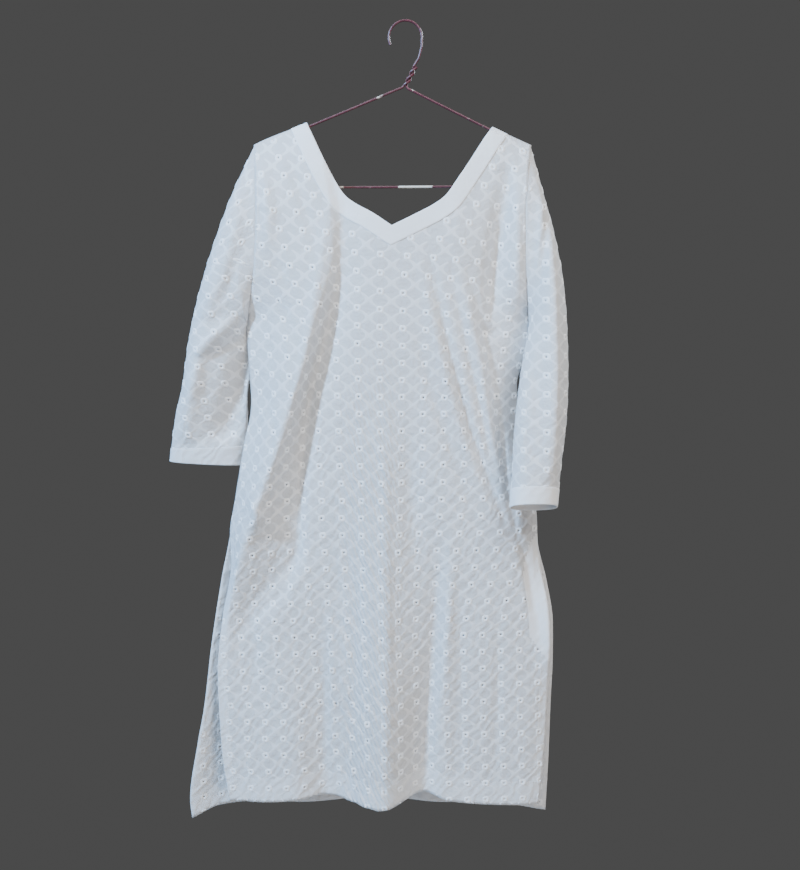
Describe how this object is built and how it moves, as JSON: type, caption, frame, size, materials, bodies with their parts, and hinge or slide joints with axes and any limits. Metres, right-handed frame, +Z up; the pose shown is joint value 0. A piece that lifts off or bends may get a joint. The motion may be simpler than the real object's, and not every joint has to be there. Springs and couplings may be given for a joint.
{
  "type": "kurta tunic on a wire hanger",
  "caption": "Long straight white tunic with a banded V neck, three-quarter sleeves, side slits and eyelet embroidery, on a wire hanger.",
  "frame": {"origin": "inside top of the hanger's hook, where a rail or a nail carries it", "axes": "+Z up, -Y towards the front of the tunic, +X to the right as seen from the front"},
  "size_m": [0.5593, 0.1592, 1.1271],
  "materials": {
    "white_cotton": "thin woven cotton with eyelet embroidery, matte",
    "plain_cotton": "doubled woven cotton, matte",
    "coated_wire": "steel wire with a worn maroon coating"
  },
  "bodies": {
    "root": {"front_panel": "white_cotton", "back_panel": "white_cotton", "left_sleeve": "white_cotton", "right_sleeve": "white_cotton", "front_neck_band": "plain_cotton", "back_neck_band": "plain_cotton", "left_cuff_band": "plain_cotton", "right_cuff_band": "plain_cotton", "hanger_wire": "coated_wire"}
  },
  "joints": []
}
